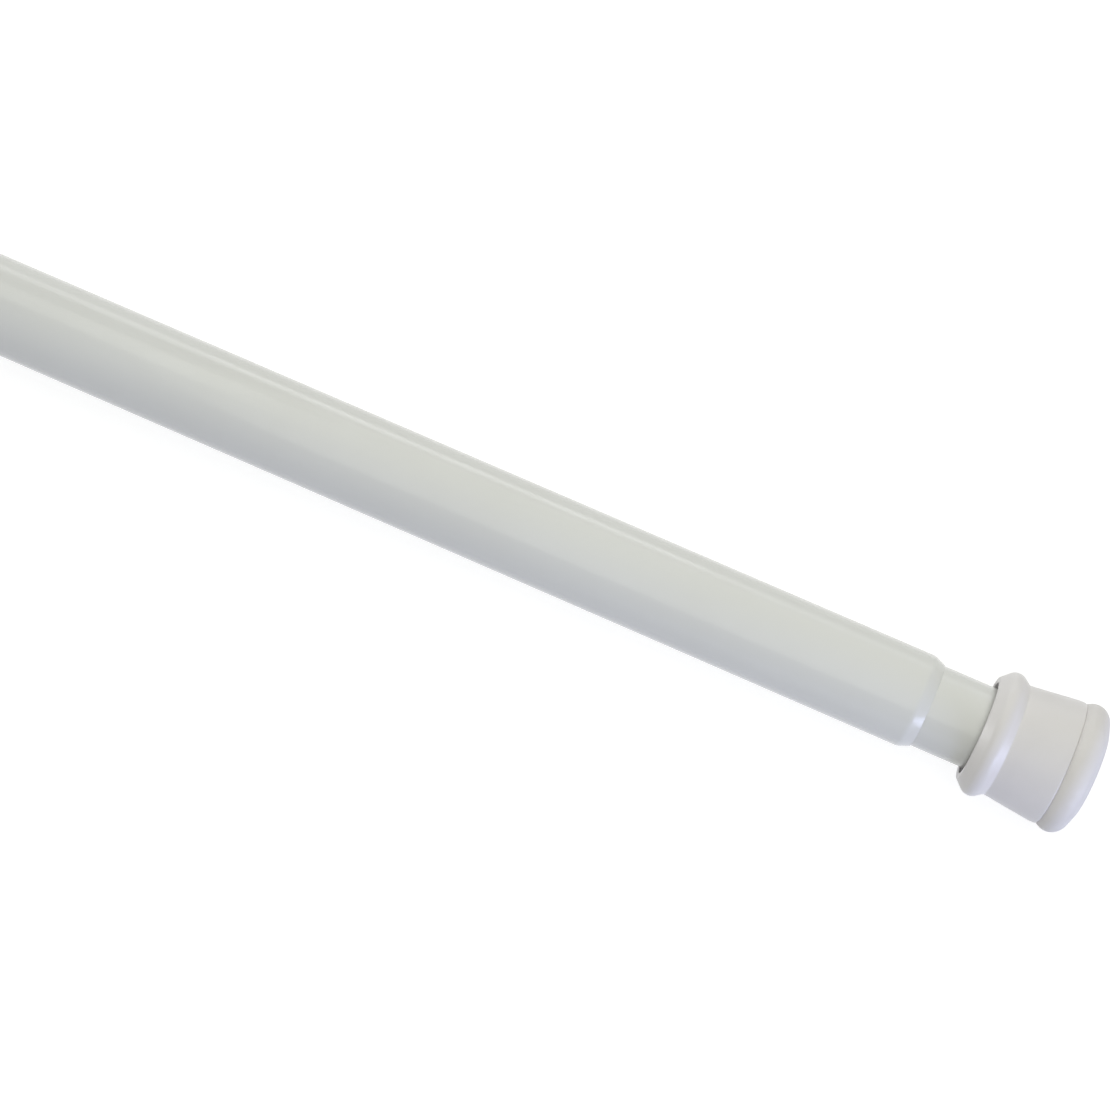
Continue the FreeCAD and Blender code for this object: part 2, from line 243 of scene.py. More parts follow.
def wind_round_axis(
    name: str, section: list[Vector], places: list[float], turn: float,
) -> bpy.types.Object:
    """Extrudes a section round the rod's axis step by step while it climbs along the axis.

    Args:
        name: Name of the new piece.
        section: The section's corners in the XZ plane, at the first place.
        places: Place along the rod at each step.
        turn: Angle from one step to the next.

    Returns:
        The piece, still in Edit Mode.
    """
    piece = draw_outline(name, section, closed=True)
    bpy.ops.mesh.edge_face_add()
    for before, after in zip(places, places[1:]):
        bpy.ops.mesh.extrude_region_move(TRANSFORM_OT_translate={"value": ROD_AXIS * (after - before)})
        bpy.ops.transform.rotate(value=turn, orient_axis="X", center_override=(0.0, 0.0, 0.0))
    return piece


def finish_piece(
    piece: bpy.types.Object, material: bpy.types.Material, body: str, node: str,
) -> None:
    """Gives a modelled piece its material, its body and the node that it stands for.

    Args:
        piece: The finished piece, at the origin.
        material: Its finish.
        body: The moving body that carries it.
        node: The node that it replaces.
    """
    piece.data.materials.clear()
    piece.data.materials.append(material)
    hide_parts(node)
    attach(piece, body)
    LOG.info("%s replaces %s on %s", piece.name, node, body)


class NodeSketch:
    """Small helper that adds and links the nodes of one tree."""

    def __init__(self, tree: bpy.types.NodeTree) -> None:
        """Keeps the tree that the nodes go into."""
        self.tree = tree

    def add(self, kind: str, **settings: object) -> bpy.types.Node:
        """Adds a node.

        Args:
            kind: Blender's name of the node type.
            **settings: Attributes to set on it.

        Returns:
            The new node.
        """
        node = self.tree.nodes.new(kind)
        for key, value in settings.items():
            setattr(node, key, value)
        return node

    def link(self, source: bpy.types.NodeSocket, target: bpy.types.NodeSocket) -> None:
        """Joins two sockets."""
        self.tree.links.new(source, target)

    def math(self, operation: str, first: object, second: object = 0.0) -> bpy.types.NodeSocket:
        """Adds a Math node.

        Args:
            operation: The node's operation.
            first: A socket or a number.
            second: A socket or a number.

        Returns:
            The result's socket.
        """
        node = self.add("ShaderNodeMath", operation=operation)
        for socket, value in zip(node.inputs, (first, second)):
            if isinstance(value, bpy.types.NodeSocket):
                self.link(value, socket)
            else:
                socket.default_value = value
        return node.outputs[0]


def start_group(name: str, inputs: dict[str, float], outputs: tuple[str, ...]) -> bpy.types.NodeTree:
    """Starts a shader node group with float sockets.

    Args:
        name: The group's name.
        inputs: Input names and their default values.
        outputs: Output names.

    Returns:
        The empty group.
    """
    group = bpy.data.node_groups.new(name, "ShaderNodeTree")
    for label, value in inputs.items():
        socket = group.interface.new_socket(label, in_out="INPUT", socket_type="NodeSocketFloat")
        socket.default_value = value
    for label in outputs:
        group.interface.new_socket(label, in_out="OUTPUT", socket_type="NodeSocketFloat")
    return group


class SurfaceGroups:
    """Effects that several finishes share, each built once as a node group."""

    def __init__(self) -> None:
        """Builds the groups."""
        self.mottle = self._mottle()
        self.orange_peel = self._orange_peel()
        self.draw_lines = self._draw_lines()

    @staticmethod
    def _mottle() -> bpy.types.NodeTree:
        """Slow blotches between two values, for colour and roughness that aren't quite even.

        Returns:
            The group.
        """
        group = start_group("mottle", {"Scale": 60.0, "Low": 0.0, "High": 1.0}, ("Value",))
        sketch = NodeSketch(group)
        inputs = sketch.add("NodeGroupInput").outputs
        place = sketch.add("ShaderNodeTexCoord").outputs["Object"]
        noise = sketch.add("ShaderNodeTexNoise")
        noise.inputs["Detail"].default_value = BLOTCH_DETAIL
        noise.inputs["Roughness"].default_value = BLOTCH_ROUGHNESS
        sketch.link(place, noise.inputs["Vector"])
        sketch.link(inputs["Scale"], noise.inputs["Scale"])
        spread = sketch.add("ShaderNodeMapRange", clamp=True)
        spread.inputs["From Min"].default_value = BLOTCH_RANGE[0]
        spread.inputs["From Max"].default_value = BLOTCH_RANGE[1]
        sketch.link(noise.outputs[0], spread.inputs["Value"])
        sketch.link(inputs["Low"], spread.inputs["To Min"])
        sketch.link(inputs["High"], spread.inputs["To Max"])
        sketch.link(spread.outputs[0], sketch.add("NodeGroupOutput").inputs["Value"])
        return group

    @staticmethod
    def _orange_peel() -> bpy.types.NodeTree:
        """Height of a sprayed or moulded skin: shallow dimples with a finer grain on them.

        Returns:
            The group.
        """
        defaults = {"Dimples": 700.0, "Grain": 4000.0, "Grain Share": 0.2}
        group = start_group("orange_peel", defaults, ("Height",))
        sketch = NodeSketch(group)
        inputs = sketch.add("NodeGroupInput").outputs
        place = sketch.add("ShaderNodeTexCoord").outputs["Object"]
        heights = []
        for label in ("Dimples", "Grain"):
            noise = sketch.add("ShaderNodeTexNoise")
            noise.inputs["Detail"].default_value = DIMPLE_DETAIL
            sketch.link(place, noise.inputs["Vector"])
            sketch.link(inputs[label], noise.inputs["Scale"])
            heights.append(noise.outputs[0])
        grain = sketch.math("MULTIPLY", heights[1], inputs["Grain Share"])
        total = sketch.math("ADD", heights[0], grain)
        sketch.link(total, sketch.add("NodeGroupOutput").inputs["Height"])
        return group

    @staticmethod
    def _draw_lines() -> bpy.types.NodeTree:
        """Fine lines along the rod, as rolling and sliding leave on a tube or a wire.

        Returns:
            The group.
        """
        group = start_group("draw_lines", {"Across": 2500.0, "Along": 6.0}, ("Height",))
        sketch = NodeSketch(group)
        inputs = sketch.add("NodeGroupInput").outputs
        place = sketch.add("ShaderNodeSeparateXYZ")
        sketch.link(sketch.add("ShaderNodeTexCoord").outputs["Object"], place.inputs[0])
        stretched = sketch.add("ShaderNodeCombineXYZ")
        for axis, label in zip("XYZ", ("Along", "Across", "Across")):
            scaled = sketch.math("MULTIPLY", place.outputs[axis], inputs[label])
            sketch.link(scaled, stretched.inputs[axis])
        noise = sketch.add("ShaderNodeTexNoise")
        noise.inputs["Scale"].default_value = 1.0
        noise.inputs["Detail"].default_value = LINE_DETAIL
        sketch.link(stretched.outputs[0], noise.inputs["Vector"])
        sketch.link(noise.outputs[0], sketch.add("NodeGroupOutput").inputs["Height"])
        return group


@dataclass(frozen=True)
class Finish:
    """A surface finish that varies a little over the piece.

    Args:
        name: The material's name.
        colour: Its colour.
        tint: The colour of its slow blotches.
        roughness: Lowest and highest roughness.
        metallic: One for bare metal.
        coat: Weight of a clear top layer.
        coat_roughness: Roughness of that layer.
        blotch_scale: How many blotches to a metre.
        bump: Height of its fine relief, in metres.
        dimples: How many dimples to a metre.
        lines: Share of lengthwise draw lines in the relief.
        specular: The shader's specular level.
    """

    name: str
    colour: Colour
    tint: Colour
    roughness: tuple[float, float]
    metallic: float = 0.0
    coat: float = 0.0
    coat_roughness: float = 0.1
    blotch_scale: float = 40.0
    bump: float = 0.00001
    dimples: float = 700.0
    lines: float = 0.0
    specular: float = 0.5

    def material(self, groups: SurfaceGroups) -> bpy.types.Material:
        """Builds the node material.

        Args:
            groups: The shared effects.

        Returns:
            The new material.
        """
        material = bpy.data.materials.new(self.name)
        material.use_nodes = True
        sketch = NodeSketch(material.node_tree)
        shader = material.node_tree.nodes["Principled BSDF"]
        shader.inputs["Metallic"].default_value = self.metallic
        shader.inputs["Coat Weight"].default_value = self.coat
        shader.inputs["Coat Roughness"].default_value = self.coat_roughness
        shader.inputs["Specular IOR Level"].default_value = self.specular
        blotch = self._effect(sketch, groups.mottle, {"Scale": self.blotch_scale})
        colours = sketch.add("ShaderNodeMix", data_type="RGBA")
        colours.inputs["A"].default_value = self.colour
        colours.inputs["B"].default_value = self.tint
        sketch.link(blotch, colours.inputs["Factor"])
        sketch.link(colours.outputs["Result"], shader.inputs["Base Color"])
        low, high = self.roughness
        sheen = {"Scale": self.blotch_scale * SHEEN_TO_BLOTCH, "Low": low, "High": high}
        sketch.link(self._effect(sketch, groups.mottle, sheen), shader.inputs["Roughness"])
        skin = {"Dimples": self.dimples, "Grain": self.dimples * GRAIN_TO_DIMPLE}
        relief = self._effect(sketch, groups.orange_peel, skin)
        if self.lines > 0.0:
            drawn = self._effect(sketch, groups.draw_lines, {})
            relief = sketch.math("ADD", relief, sketch.math("MULTIPLY", drawn, self.lines))
        bump = sketch.add("ShaderNodeBump")
        bump.inputs["Distance"].default_value = self.bump
        bump.inputs["Strength"].default_value = 1.0
        sketch.link(relief, bump.inputs["Height"])
        sketch.link(bump.outputs["Normal"], shader.inputs["Normal"])
        return material

    @staticmethod
    def _effect(
        sketch: NodeSketch, group: bpy.types.NodeTree, values: dict[str, float],
    ) -> bpy.types.NodeSocket:
        """Places a shared effect in the material.

        Args:
            sketch: The material's nodes.
            group: The effect.
            values: Its own input values.

        Returns:
            The effect's output.
        """
        node = sketch.add("ShaderNodeGroup", node_tree=group)
        for label, value in values.items():
            node.inputs[label].default_value = value
        return node.outputs[0]


ENAMEL = Finish(
    name="white_enamel", colour=(0.690, 0.692, 0.690, 1.0), tint=(0.672, 0.672, 0.664, 1.0),
    roughness=(0.20, 0.27), coat=0.25, coat_roughness=0.06, blotch_scale=25.0, bump=0.000006,
    dimples=600.0, lines=0.15,
)
CAP_PLASTIC = Finish(
    name="white_cap_plastic", colour=(0.722, 0.698, 0.716, 1.0), tint=(0.702, 0.678, 0.69, 1.0),
    roughness=(0.30, 0.40), blotch_scale=90.0, bump=0.000008, dimples=1800.0,
)
FOOT_RUBBER = Finish(
    name="white_foot_rubber", colour=(0.735, 0.71, 0.72, 1.0), tint=(0.70, 0.675, 0.68, 1.0),
    roughness=(0.46, 0.60), blotch_scale=140.0, bump=0.000014, dimples=2600.0, specular=0.4,
)
NATURAL_NYLON = Finish(
    name="natural_nylon", colour=(0.70, 0.66, 0.56, 1.0), tint=(0.64, 0.60, 0.50, 1.0),
    roughness=(0.34, 0.46), blotch_scale=160.0, bump=0.00001, dimples=2200.0,
)
GREY_NYLON = Finish(
    name="grey_nylon", colour=grey(0.17, -0.03), tint=grey(0.14, -0.02), roughness=(0.36, 0.5),
    blotch_scale=180.0, bump=0.00001, dimples=2200.0,
)
BLACK_RUBBER = Finish(
    name="black_rubber", colour=grey(0.022), tint=grey(0.032), roughness=(0.55, 0.7),
    blotch_scale=220.0, bump=0.000012, dimples=2800.0,
)
ZINC_STEEL = Finish(
    name="zinc_steel", colour=(0.60, 0.61, 0.63, 1.0), tint=(0.52, 0.52, 0.50, 1.0),
    roughness=(0.24, 0.4), metallic=1.0, blotch_scale=200.0, bump=0.000005, dimples=3000.0, lines=0.6,
)
SPRING_STEEL = Finish(
    name="spring_steel", colour=(0.36, 0.365, 0.38, 1.0), tint=(0.27, 0.265, 0.26, 1.0),
    roughness=(0.26, 0.42), metallic=1.0, blotch_scale=240.0, bump=0.000005, dimples=3000.0, lines=0.8,
)


@dataclass
class TubePair:
    """The two enamelled tubes.

    Args:
        outer_radius: Outside of the thick tube.
        outer_wall: Its wall.
        inner_radius: Outside of the thin tube.
        inner_wall: Its wall.
        lip_length: Length of the thick tube's necked-in end.
        lip_clearance: Gap between the lip and the thin tube.
        lip_edge: Thickness of the lip's edge.
        crease_round: Rounding of the swaged shoulder where the lip starts.
        edge_round: Rounding of the lip's edge.
        stake_count: Stakes round the thin tube at each place.
        stake_depth: Depth of a stake.
        stake_width: Width of a stake.
        stake_rings: Rings of faces from a stake's middle to its edge.
        stake_from_stop_end: From the middle of the stop's stakes to its hollow end.
        steps: Faces round each tube.
    """

    outer_radius: float = 12.5 * MM
    outer_wall: float = 0.5 * MM
    inner_radius: float = 11.0 * MM
    inner_wall: float = 0.5 * MM
    lip_length: float = 3.0 * MM
    lip_clearance: float = 0.08 * MM
    lip_edge: float = 0.15 * MM
    crease_round: float = 3.6 * MM
    edge_round: float = 0.08 * MM
    stake_count: int = 3
    stake_depth: float = 0.8 * MM
    stake_width: float = 3.2 * MM
    stake_rings: int = 5
    stake_from_stop_end: float = 6.0 * MM
    steps: int = 192

    def build_outer(self) -> bpy.types.Object:
        """Turns the thick tube with its rolled lip.

        Returns:
            The new piece.
        """
        low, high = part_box("outer_tube")
        crease = high.x - self.lip_length
        bore = self.outer_radius - self.outer_wall
        lip_bore = self.inner_radius + self.lip_clearance
        outline = Outline([
            Corner(low.x, bore),
            Corner(low.x, self.outer_radius),
            Corner(crease, self.outer_radius, self.crease_round),
            Corner(high.x, lip_bore + self.lip_edge, self.edge_round),
            Corner(high.x, lip_bore),
            Corner(crease, bore, self.crease_round),
        ])
        return turn_on_lathe("outer_tube_enamelled", outline, self.steps)

    def build_inner(self) -> bpy.types.Object:
        """Turns the thin tube and punches the stakes that hold the bush and the stop.

        Returns:
            The new piece.
        """
        low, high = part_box("inner_tube")
        bore = self.inner_radius - self.inner_wall
        bush_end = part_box("guide_bush")[1].x
        stop_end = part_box("spring_stop")[1].x
        stakes = ((low.x + bush_end) / 2.0, stop_end - self.stake_from_stop_end)
        rings = [low.x, high.x]
        for place in stakes:
            count = 2 * self.stake_rings
            rings += [place + self.stake_width * (ring / count - 0.5) for ring in range(-1, count + 2)]
        rings.sort()
        outside = [Corner(x, self.inner_radius) for x in rings]
        inside = [Corner(x, bore) for x in reversed(rings)]
        piece = turn_on_lathe("inner_tube_enamelled", Outline(outside + inside), self.steps)
        for place in stakes:
            for index in range(self.stake_count):
                self.punch(piece, place, math.tau * index / self.stake_count)
        return piece

    def punch(self, tube: bpy.types.Object, place: float, angle: float) -> None:
        """Pushes one round dent into the tube's wall.

        Args:
            tube: The tube.
            place: The dent's place along the rod.
            angle: Its turn about the rod's axis, from the top.
        """
        outwards = Vector((0.0, -math.sin(angle), math.cos(angle)))
        half_step = math.pi / self.steps
        bpy.ops.object.mode_set(mode="EDIT")
        bpy.ops.mesh.select_all(action="DESELECT")
        bpy.ops.object.mode_set(mode="OBJECT")
        for vertex in tube.data.vertices:
            off_ring = abs(vertex.co.x - place)
            aside = vertex.co - ROD_AXIS * vertex.co.x
            vertex.select = off_ring < MERGE_DISTANCE and aside.angle(outwards) < half_step / 2.0
        bpy.ops.object.mode_set(mode="EDIT")
        bpy.ops.transform.translate(
            value=outwards * -self.stake_depth, use_proportional_edit=True,
            proportional_edit_falloff="SPHERE", proportional_size=self.stake_width / 2.0)
        bpy.ops.mesh.select_all(action="DESELECT")
        bpy.ops.object.mode_set(mode="OBJECT")

    def dress(self, groups: SurfaceGroups) -> None:
        """Builds both tubes and gives them their enamel.

        Args:
            groups: The shared effects.
        """
        enamel = ENAMEL.material(groups)
        finish_piece(self.build_outer(), enamel, "outer", "outer_tube")
        finish_piece(self.build_inner(), enamel, "inner", "inner_tube")


@dataclass
class EndCap:
    """A cap shell and its soft foot, measured from the wall face.

    Args:
        end: Which end of the rod it closes.
        length: From the wall face to the mouth.
        floor: Thickness of the web between foot and tube.
        bore: Radius of the bore.
        wall: Wall at the waist, behind the bead.
        flare: Rise of the body from its waist to the foot.
        rim_length: Length of the straight band before the foot.
        edge_round: Rounding of the body's edge at the foot.
        bead_length: From the mouth to the waist.
        bead_crest: From the mouth to the bead's crest.
        bead_rise: Rise of the bead's corner over the waist, before its rounding.
        bead_round: Rounding of the bead's crest.
        bead_fillet: Rounding where the bead meets the body.
        mouth_wall: Wall at the mouth.
        mouth_round: Rounding of the mouth's edges.
        foot_thickness: Foot's thickness.
        foot_seat_drop: How far the foot's back edge lies inside the body's.
        foot_rim_depth: From the wall face to the corner of the foot's rim.
        foot_rim_rise: Rise of that corner over the body, before its rounding.
        foot_rim_round: Rounding of the rim.
        face_radius: Radius of the flat wall face.
        face_round: Rounding of the face's edge.
        stem_radius: Radius of the foot's stem.
        barb_rise: Rise of the stem's barb.
        barb_length: Length of the barb.
        barb_taper: Drop of the barb towards its tip.
        grip_grooves: Number of grip grooves in the wall face.
        grip_pitch: Spacing of the grooves.
        grip_width: Width of a groove.
        grip_depth: Depth of a groove.
        fit: Clearance of what is pressed in.
        steps: Faces round the cap.

    Attributes:
        wall_x: Place of this end's wall face along the rod.
        facing: One where depth runs along +X, minus one where it runs the other way.
    """

    end: End
    length: float = 30.25 * MM
    floor: float = 2.5 * MM
    bore: float = 12.52 * MM
    wall: float = 2.5 * MM
    flare: float = 1.53 * MM
    rim_length: float = 2.0 * MM
    edge_round: float = 0.5 * MM
    bead_length: float = 7.65 * MM
    bead_crest: float = 3.85 * MM
    bead_rise: float = 2.77 * MM
    bead_round: float = 3.08 * MM
    bead_fillet: float = 0.7 * MM
    mouth_wall: float = 1.54 * MM
    mouth_round: float = 0.25 * MM
    foot_thickness: float = 7.8 * MM
    foot_seat_drop: float = 0.3 * MM
    foot_rim_depth: float = 2.8 * MM
    foot_rim_rise: float = 2.7 * MM
    foot_rim_round: float = 4.0 * MM
    face_radius: float = 11.8 * MM
    face_round: float = 1.75 * MM
    stem_radius: float = 3.0 * MM
    barb_rise: float = 1.4 * MM
    barb_length: float = 3.0 * MM
    barb_taper: float = 1.9 * MM
    grip_grooves: int = 3
    grip_pitch: float = 3.2 * MM
    grip_width: float = 0.8 * MM
    grip_depth: float = 0.5 * MM
    fit: float = 0.02 * MM
    steps: int = 192
    wall_x: float = field(init=False)
    facing: float = field(init=False)

    def __post_init__(self) -> None:
        """Finds the wall face of this end in the frame."""
        low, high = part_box(f"{self.end.value}_rubber_foot")
        self.wall_x = low.x if self.end is End.FIXED else high.x
        self.facing = 1.0 if self.end is End.FIXED else -1.0

    def corner(self, depth: float, radius: float, rounding: float = 0.0) -> Corner:
        """A corner at a depth from the wall face.

        Args:
            depth: Distance from the wall face.
            radius: Distance from the axis.
            rounding: Radius of the corner's arc.

        Returns:
            The corner in the rod's frame.
        """
        return Corner(self.wall_x + self.facing * depth, radius, rounding)

    def build_shell(self) -> bpy.types.Object:
        """Turns the moulded shell: flaring body, bead, mouth, bore and floor.

        Returns:
            The new piece.
        """
        waist = self.bore + self.wall
        floor_depth = self.foot_thickness + self.floor
        hole = self.stem_radius + self.fit
        outline = Outline([
            self.corner(self.foot_thickness, hole),
            self.corner(self.foot_thickness, waist + self.flare, self.edge_round),
            self.corner(self.foot_thickness + self.rim_length, waist + self.flare),
            self.corner(self.length - self.bead_length, waist, self.bead_fillet),
            self.corner(self.length - self.bead_crest, waist + self.bead_rise, self.bead_round),
            self.corner(self.length, self.bore + self.mouth_wall, self.mouth_round),
            self.corner(self.length, self.bore, self.mouth_round),
            self.corner(floor_depth, self.bore),
            self.corner(floor_depth, hole),
        ])
        return turn_on_lathe(f"{self.end.value}_cap_moulding", outline, self.steps)

    def build_foot(self) -> bpy.types.Object:
        """Turns the soft foot: grooved wall face, round rim, stem and barb.

        Returns:
            The new piece.
        """
        seat = self.bore + self.wall + self.flare
        barb_depth = self.foot_thickness + self.floor + self.fit
        barb = self.stem_radius + self.barb_rise
        corners = [self.corner(0.0, 0.0)]
        for index in range(self.grip_grooves):
            near = self.grip_pitch * (index + 1) - self.grip_width / 2.0
            far = near + self.grip_width
            corners += [
                self.corner(0.0, near),
                self.corner(self.grip_depth, near),
                self.corner(self.grip_depth, far),
                self.corner(0.0, far),
            ]
        corners += [
            self.corner(0.0, self.face_radius, self.face_round),
            self.corner(self.foot_rim_depth, seat + self.foot_rim_rise, self.foot_rim_round),
            self.corner(self.foot_thickness, seat - self.foot_seat_drop),
            self.corner(self.foot_thickness, self.stem_radius),
            self.corner(barb_depth, self.stem_radius),
            self.corner(barb_depth, barb),
            self.corner(barb_depth + self.barb_length, barb - self.barb_taper),
            self.corner(barb_depth + self.barb_length, 0.0),
        ]
        outline = Outline(corners, closed=False)
        return turn_on_lathe(f"{self.end.value}_foot_moulding", outline, self.steps)

    def dress(self, plastic: bpy.types.Material, rubber: bpy.types.Material) -> None:
        """Builds the shell and the foot and gives them their finishes.

        Args:
            plastic: The shell's finish.
            rubber: The foot's finish.
        """
        body = "outer" if self.end is End.FIXED else "inner"
        name = self.end.value
        finish_piece(self.build_shell(), plastic, body, f"{name}_cap_shell")
        finish_piece(self.build_foot(), rubber, body, f"{name}_rubber_foot")


@dataclass
class WireSpring:
    """The compression spring: round wire with one closed turn at each end, ground flat.

    Args:
        mean_radius: Radius of the coil at the wire's centre.
        wire_radius: Radius of the wire.
        active_turns: Open turns.
        closed_turns: Closed turns at each end.
        closed_pitch: Climb of a closed turn.
        lead: From the ground end to the wire's centre.
        travel: How far the spring is pressed together; not used.
        stop_body: Length of the stop's body behind the spring.
        turn_steps: Steps to a turn.
        section_points: Points round the wire.
    """

    mean_radius: float = 8.5 * MM
    wire_radius: float = 1.0 * MM
    active_turns: int = 5
    closed_turns: int = 1
    closed_pitch: float = 2.1 * MM
    lead: float = 0.6 * MM
    travel: float = 12.0 * MM
    stop_body: float = 12.0 * MM
    turn_steps: int = 36
    section_points: int = 14

    @property
    def start(self) -> float:
        """Place of the end that sits on the follower."""
        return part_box("follower_clip")[0].x

    @property
    def stop(self) -> float:
        """Place of the end that sits on the spring stop."""
        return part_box("spring_stop")[1].x - self.stop_body

    def climb(self, turn: float, length: float) -> float:
        """Height of the wire's centre over the spring's end.

        Args:
            turn: Turns from the start of the wire.
            length: The spring's length.

        Returns:
            The height.
        """
        end_length = self.lead + self.closed_pitch * self.closed_turns
        open_pitch = (length - 2.0 * end_length) / self.active_turns
        open_turns = min(max(turn - self.closed_turns, 0.0), self.active_turns)
        return self.lead + self.closed_pitch * (turn - open_turns) + open_pitch * open_turns

    def build(self) -> bpy.types.Object:
        """Winds the wire and grinds its ends.

        Returns:
            The new piece.
        """
        length = self.stop - self.start
        steps = (self.active_turns + 2 * self.closed_turns) * self.turn_steps
        places = [self.start + self.climb(step / self.turn_steps, length) for step in range(steps + 1)]
        section = []
        for point in range(self.section_points):
            angle = math.tau * point / self.section_points
            along = places[0] + self.wire_radius * math.cos(angle)
            section.append(Vector((along, 0.0, self.mean_radius + self.wire_radius * math.sin(angle))))
        piece = wind_round_axis("coil_spring", section, places, math.tau / self.turn_steps)
        for cut, facing in ((self.start, ROD_AXIS), (self.stop, -ROD_AXIS)):
            bpy.ops.mesh.select_all(action="SELECT")
            bpy.ops.mesh.bisect(
                plane_co=ROD_AXIS * cut, plane_no=facing, use_fill=True, clear_inner=True,
                threshold=MERGE_DISTANCE)
        return close_up(piece)

    def dress(self, steel: bpy.types.Material) -> None:
        """Builds the spring, gives it its steel and its own mesh.

        Args:
            steel: The wire's finish.
        """
        piece = self.build()
        finish_piece(piece, steel, "spindle", "compression_spring")
        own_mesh(piece)


@dataclass
class ThreadedSpindle:
    """The lock's steel spindle: threaded nose, thrust collar, square shank and grooved tail.

    Args:
        thread_radius: Radius over the thread.
        core_radius: Radius at the thread's root.
        pitch: Climb of the thread in a turn.
        root_width: Width of the thread's rib at its root.
        crest_width: Width of the rib at its crest.
        root_sink: How far the rib's root is sunk into the core.
        tip_chamfer: Chamfer of the nose.
        clip_bite: Depth of the clips' grooves.
        collar_radius: Radius of the thrust collar.
        collar_length: Length of the collar.
        shank_width: Width of the square shank.
        shank_corner: Radius over the shank's corners.
        tail_radius: Radius of the tail.
        turn_steps: Steps to a turn of the thread.
        steps: Faces round the turned part.
    """

    thread_radius: float = 4.0 * MM
    core_radius: float = 3.2 * MM
    pitch: float = 3.0 * MM
    root_width: float = 1.9 * MM
    crest_width: float = 0.8 * MM
    root_sink: float = 0.3 * MM
    tip_chamfer: float = 0.6 * MM
    clip_bite: float = 0.6 * MM
    collar_radius: float = 8.0 * MM
    collar_length: float = 2.0 * MM
    shank_width: float = 7.0 * MM
    shank_corner: float = 4.45 * MM
    tail_radius: float = 3.0 * MM
    turn_steps: int = 28
    steps: int = 64

    def build_core(self) -> bpy.types.Object:
        """Turns the round part, with the grooves of both clips.

        Returns:
            The new piece.
        """
        low, high = (corner.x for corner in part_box("spindle"))
        nose_clip = [corner.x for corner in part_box("cone_clip")]
        tail_clip = [corner.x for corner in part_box("follower_clip")]
        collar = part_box("thrust_washer")[1].x
        shank = collar + self.collar_length
        outline = Outline([
            Corner(low, 0.0),
            Corner(low, self.thread_radius - self.tip_chamfer),
            Corner(low + self.tip_chamfer, self.thread_radius),
            Corner(nose_clip[0], self.thread_radius),
            Corner(nose_clip[0], self.thread_radius - self.clip_bite),
            Corner(nose_clip[1], self.thread_radius - self.clip_bite),
            Corner(nose_clip[1], self.core_radius),
            Corner(collar, self.core_radius),
            Corner(collar, self.collar_radius),
            Corner(shank, self.collar_radius),
            Corner(shank, self.tail_radius),
            Corner(tail_clip[0], self.tail_radius),
            Corner(tail_clip[0], self.tail_radius - self.clip_bite),
            Corner(tail_clip[1], self.tail_radius - self.clip_bite),
            Corner(tail_clip[1], self.tail_radius),
            Corner(high, self.tail_radius),
            Corner(high, 0.0),
        ], closed=False)
        return turn_on_lathe("threaded_spindle", outline, self.steps)

    def build_thread(self) -> bpy.types.Object:
        """Winds the thread's rib from the nose's clip to the collar.

        Returns:
            The new piece.
        """
        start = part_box("cone_clip")[1].x + self.root_width / 2.0
        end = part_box("thrust_washer")[1].x - self.root_width / 2.0
        steps = math.floor((end - start) / self.pitch * self.turn_steps)
        places = [start + self.pitch * step / self.turn_steps for step in range(steps + 1)]
        root = self.core_radius - self.root_sink
        section = [
            Vector((start - self.root_width / 2.0, 0.0, root)),
            Vector((start - self.crest_width / 2.0, 0.0, self.thread_radius)),
            Vector((start + self.crest_width / 2.0, 0.0, self.thread_radius)),
            Vector((start + self.root_width / 2.0, 0.0, root)),
        ]
        return close_up(wind_round_axis("thread_rib", section, places, math.tau / self.turn_steps))

    def build_shank(self) -> bpy.types.Object:
        """Draws the square section with its corners off and extrudes it from the collar to the follower.

        Returns:
            The new piece.
        """
        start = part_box("thrust_washer")[1].x + self.collar_length
        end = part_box("spring_follower")[0].x
        flat = self.shank_width / 2.0
        edge = math.sqrt(self.shank_corner ** 2 - flat ** 2)
        section = []
        side = [(-edge, flat), (edge, flat)]
        for _ in range(SQUARE_SIDES):
            section += [Vector((start, across, up)) for across, up in side]
            side = [(up, -across) for across, up in side]
        piece = draw_outline("square_shank", section, closed=True)
        bpy.ops.mesh.edge_face_add()
        bpy.ops.mesh.extrude_region_move(TRANSFORM_OT_translate={"value": ROD_AXIS * (end - start)})
        return close_up(piece)

    def dress(self, steel: bpy.types.Material) -> None:
        """Builds the spindle as one piece and gives it its steel.

        Args:
            steel: The spindle's finish.
        """
        core = self.build_core()
        parts = (self.build_thread(), self.build_shank(), core)
        bpy.ops.object.select_all(action="DESELECT")
        for part in parts:
            part.select_set(True)
        bpy.context.view_layer.objects.active = core
        bpy.ops.object.join()
        finish_piece(core, steel, "spindle", "spindle")


